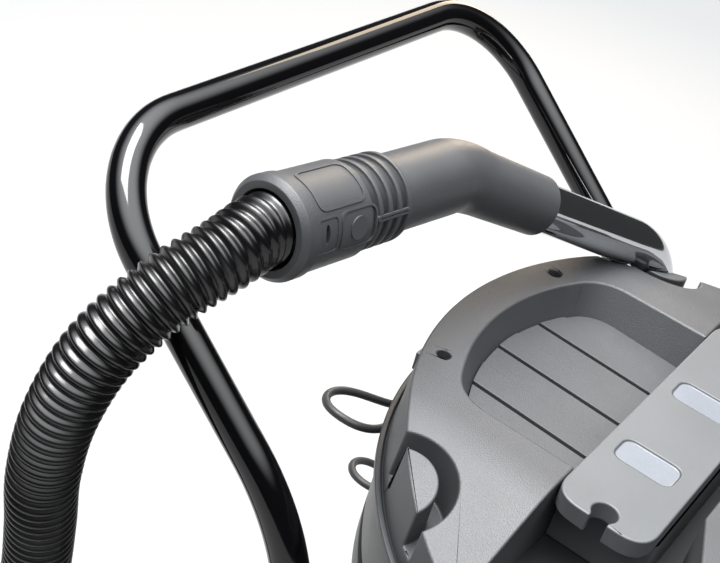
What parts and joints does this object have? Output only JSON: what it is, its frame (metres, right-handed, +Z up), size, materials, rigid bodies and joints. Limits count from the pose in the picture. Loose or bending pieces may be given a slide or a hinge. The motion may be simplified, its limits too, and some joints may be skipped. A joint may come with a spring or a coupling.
{
  "type": "canister vacuum cleaner",
  "caption": "Upright wet and dry canister vacuum on a wheeled trolley with a tubular push handle, tool tray in the lid, stowed chrome wand, elbow grip, corrugated hose and power cord.",
  "frame": {"origin": "on the floor, under the middle of the machine without its hose and cord", "axes": "+Z up, +Y backwards to the push handle, +X to the machine's right as it is pushed"},
  "size_m": [0.6648, 0.7635, 0.957],
  "materials": {
    "head_plastic": "fine textured moulding",
    "dark_plastic": "satin moulding",
    "black_rubber": "soft black",
    "tyre_rubber": "plain tread",
    "chrome_tube": "mirror plated",
    "brushed_tank": "brushed round the tank",
    "black_enamel": "gloss black",
    "zinc_steel": "zinc plated",
    "hose_plastic": "gloss corrugated",
    "motor_casting": "as cast",
    "filter_foam": "moulded float"
  },
  "bodies": {
    "machine": {"trolley_frame": "dark_plastic", "rear_axle": "zinc_steel", "axle_bracket_left": "dark_plastic", "axle_cap_left": "dark_plastic", "axle_bracket_right": "dark_plastic", "axle_cap_right": "dark_plastic", "push_handle": "black_enamel", "tank": "brushed_tank", "tank_ring": "dark_plastic", "head_gasket": "black_rubber", "hose_inlet": "dark_plastic", "latch_bracket_left": "zinc_steel", "latch_pin_left": "zinc_steel", "latch_bracket_right": "zinc_steel", "latch_pin_right": "zinc_steel", "head_base": "head_plastic", "motor_plate": "dark_plastic", "motor_left": "motor_casting", "motor_right": "motor_casting", "float_cage": "dark_plastic", "float_rest": "dark_plastic", "rear_cover": "head_plastic", "cover_screw_left": "zinc_steel", "cover_screw_right": "zinc_steel", "tray_floor": "head_plastic", "bridge_handle": "head_plastic", "front_cover": "head_plastic", "switch_panel": "dark_plastic", "wand_upper": "chrome_tube", "wand_lower": "chrome_tube", "wand_cup": "dark_plastic", "wand_clip": "dark_plastic", "elbow_grip": "dark_plastic", "tank_cuff": "dark_plastic", "hose": "hose_plastic", "cord_gland": "black_rubber", "cord_hook": "dark_plastic", "power_cord": "black_rubber", "cord_coil": "black_rubber", "plug": "black_rubber"},
    "rear_wheel_left": {"rear_tyre_left": "tyre_rubber", "rear_hub_left": "dark_plastic"},
    "rear_wheel_right": {"rear_tyre_right": "tyre_rubber", "rear_hub_right": "dark_plastic"},
    "caster_swivel_left": {"caster_fork_left": "zinc_steel", "caster_axle_left": "zinc_steel"},
    "caster_swivel_right": {"caster_fork_right": "zinc_steel", "caster_axle_right": "zinc_steel"},
    "caster_roller_left": {"caster_wheel_left": "dark_plastic"},
    "caster_roller_right": {"caster_wheel_right": "dark_plastic"},
    "latch_left": {"latch_lever_left": "dark_plastic"},
    "latch_right": {"latch_lever_right": "dark_plastic"},
    "switch_1": {"rocker_switch_1": "black_rubber"},
    "switch_2": {"rocker_switch_2": "black_rubber"},
    "float_valve": {"float": "filter_foam"},
    "hose_end": {"hose_cuff": "dark_plastic"}
  },
  "joints": [
    {"name": "rear_wheel_left_spin", "type": "hinge", "parent": "machine", "child": "rear_wheel_left", "pos_m": [-0.24263, 0.12273, 0.11445], "axis": [1, 0, 0], "continuous": true},
    {"name": "rear_wheel_right_spin", "type": "hinge", "parent": "machine", "child": "rear_wheel_right", "pos_m": [0.30537, 0.12273, 0.11445], "axis": [1, 0, 0], "continuous": true},
    {"name": "caster_left_swivel", "type": "hinge", "parent": "machine", "child": "caster_swivel_left", "pos_m": [-0.13363, -0.26227, 0.112], "axis": [0, 0, 1], "continuous": true},
    {"name": "caster_right_swivel", "type": "hinge", "parent": "machine", "child": "caster_swivel_right", "pos_m": [0.19637, -0.26227, 0.112], "axis": [0, 0, 1], "continuous": true},
    {"name": "caster_left_roll", "type": "hinge", "parent": "caster_swivel_left", "child": "caster_roller_left", "pos_m": [-0.13363, -0.23226, 0.04462], "axis": [1, 0, 0], "continuous": true},
    {"name": "caster_right_roll", "type": "hinge", "parent": "caster_swivel_right", "child": "caster_roller_right", "pos_m": [0.19637, -0.23226, 0.04462], "axis": [1, 0, 0], "continuous": true},
    {"name": "latch_left_hinge", "type": "hinge", "parent": "machine", "child": "latch_left", "pos_m": [-0.24963, -0.08726, 0.684], "axis": [0, -1, 0], "range_deg": [0, 110]},
    {"name": "latch_right_hinge", "type": "hinge", "parent": "machine", "child": "latch_right", "pos_m": [0.31237, -0.08726, 0.684], "axis": [0, 1, 0], "range_deg": [0, 110]},
    {"name": "switch_1_rock", "type": "hinge", "parent": "machine", "child": "switch_1", "pos_m": [0.00837, -0.2584, 0.7996], "axis": [1, 0, 0], "range_deg": [0, 12]},
    {"name": "switch_2_rock", "type": "hinge", "parent": "machine", "child": "switch_2", "pos_m": [0.05437, -0.2584, 0.7996], "axis": [1, 0, 0], "range_deg": [0, 12]},
    {"name": "float_lift", "type": "slide", "parent": "machine", "child": "float_valve", "axis": [0, 0, 1], "range_m": [0, 0.045]},
    {"name": "hose_cuff_swivel", "type": "hinge", "parent": "machine", "child": "hose_end", "pos_m": [-0.09948, 0.22015, 0.9188], "axis": [-0.9923, 0.0958, 0.079], "continuous": true}
  ]
}
